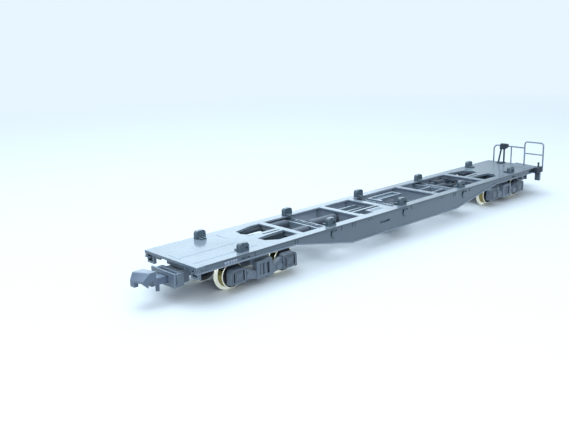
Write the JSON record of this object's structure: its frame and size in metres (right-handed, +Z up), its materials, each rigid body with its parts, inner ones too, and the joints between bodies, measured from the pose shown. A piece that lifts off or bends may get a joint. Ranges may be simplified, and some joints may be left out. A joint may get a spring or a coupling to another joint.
{
  "type": "scale model container flat car (1:150, 9 mm gauge)",
  "caption": "Model railway bogie container flat car with a fish-bellied skeleton frame, paired container locks, an end handrail with brake stand, swivelling bogies and hook couplers.",
  "frame": {"origin": "on the track centre line at the middle of the frame's length, at the level of the wheel flanges' lowest points", "axes": "+X along the car toward the handrail end, +Y to the car's left, +Z up"},
  "size_m": [0.1462, 0.0198, 0.0158],
  "materials": {
    "body_plastic": "satin, slate blue-grey moulding",
    "lock_plastic": "satin, slightly darker grey moulding",
    "bogie_plastic": "satin, dark blue-grey moulding",
    "coupler_plastic": "satin, dark grey moulding",
    "rail_plastic": "satin, thin pale grey mouldings",
    "gear_plastic": "satin, near-black moulding",
    "wheel_metal": "plated metal tyres, bright, slightly brassy"
  },
  "bodies": {
    "underframe": {"side_sill_left": "body_plastic", "side_sill_right": "body_plastic", "end_deck_plain": "body_plastic", "end_deck_brake": "body_plastic", "cross_beams": "body_plastic", "lock_cross_members": "body_plastic", "container_lock_pair_1": "lock_plastic", "container_lock_pair_2": "lock_plastic", "container_lock_pair_3": "lock_plastic", "container_lock_pair_4": "lock_plastic", "container_lock_pair_5": "lock_plastic", "lock_levers": "lock_plastic", "walkway_grate": "body_plastic", "bay_stringers": "body_plastic", "equipment_tray": "body_plastic", "air_reservoirs": "gear_plastic", "brake_cylinder": "gear_plastic", "brake_valve_box": "gear_plastic", "brake_pipes": "gear_plastic", "bolster_kingpin_plain": "gear_plastic", "bolster_kingpin_brake": "gear_plastic", "centre_sills": "gear_plastic", "corner_steps_plain": "body_plastic", "corner_steps_brake": "body_plastic", "end_beams": "body_plastic", "end_blocks": "body_plastic", "handrail_loop": "rail_plastic", "low_handrail": "rail_plastic", "brake_stand": "gear_plastic", "corner_clamp": "gear_plastic"},
    "bogie_plain": {"bogie_frame_plain": "bogie_plastic", "bogie_sideframe_left_plain": "bogie_plastic", "bogie_sideframe_right_plain": "bogie_plastic"},
    "coupler_plain": {"coupler_plain": "coupler_plastic"},
    "wheelset_outer_plain": {"wheelset_outer_plain": "wheel_metal"},
    "wheelset_inner_plain": {"wheelset_inner_plain": "wheel_metal"},
    "bogie_brake": {"bogie_frame_brake": "bogie_plastic", "bogie_sideframe_left_brake": "bogie_plastic", "bogie_sideframe_right_brake": "bogie_plastic"},
    "coupler_brake": {"coupler_brake": "coupler_plastic"},
    "wheelset_outer_brake": {"wheelset_outer_brake": "wheel_metal"},
    "wheelset_inner_brake": {"wheelset_inner_brake": "wheel_metal"}
  },
  "joints": [
    {"name": "bogie_pivot_plain", "type": "hinge", "parent": "underframe", "child": "bogie_plain", "pos_m": [-0.0471, 0, 0.0057], "axis": [0, 0, 1], "range_deg": [-8, 8]},
    {"name": "coupler_swing_plain", "type": "hinge", "parent": "bogie_plain", "child": "coupler_plain", "pos_m": [-0.0649, 0, 0.00485], "axis": [0, 0, 1], "range_deg": [-12, 12]},
    {"name": "wheelset_turn_outer_plain", "type": "hinge", "parent": "bogie_plain", "child": "wheelset_outer_plain", "pos_m": [-0.0542, 0, 0.0035], "axis": [0, 1, 0], "continuous": true},
    {"name": "wheelset_turn_inner_plain", "type": "hinge", "parent": "bogie_plain", "child": "wheelset_inner_plain", "pos_m": [-0.04, 0, 0.0035], "axis": [0, 1, 0], "continuous": true},
    {"name": "bogie_pivot_brake", "type": "hinge", "parent": "underframe", "child": "bogie_brake", "pos_m": [0.0489, 0, 0.0057], "axis": [0, 0, 1], "range_deg": [-8, 8]},
    {"name": "coupler_swing_brake", "type": "hinge", "parent": "bogie_brake", "child": "coupler_brake", "pos_m": [0.0649, 0, 0.00485], "axis": [0, 0, 1], "range_deg": [-12, 12]},
    {"name": "wheelset_turn_outer_brake", "type": "hinge", "parent": "bogie_brake", "child": "wheelset_outer_brake", "pos_m": [0.056, 0, 0.0035], "axis": [0, 1, 0], "continuous": true},
    {"name": "wheelset_turn_inner_brake", "type": "hinge", "parent": "bogie_brake", "child": "wheelset_inner_brake", "pos_m": [0.0418, 0, 0.0035], "axis": [0, 1, 0], "continuous": true}
  ]
}
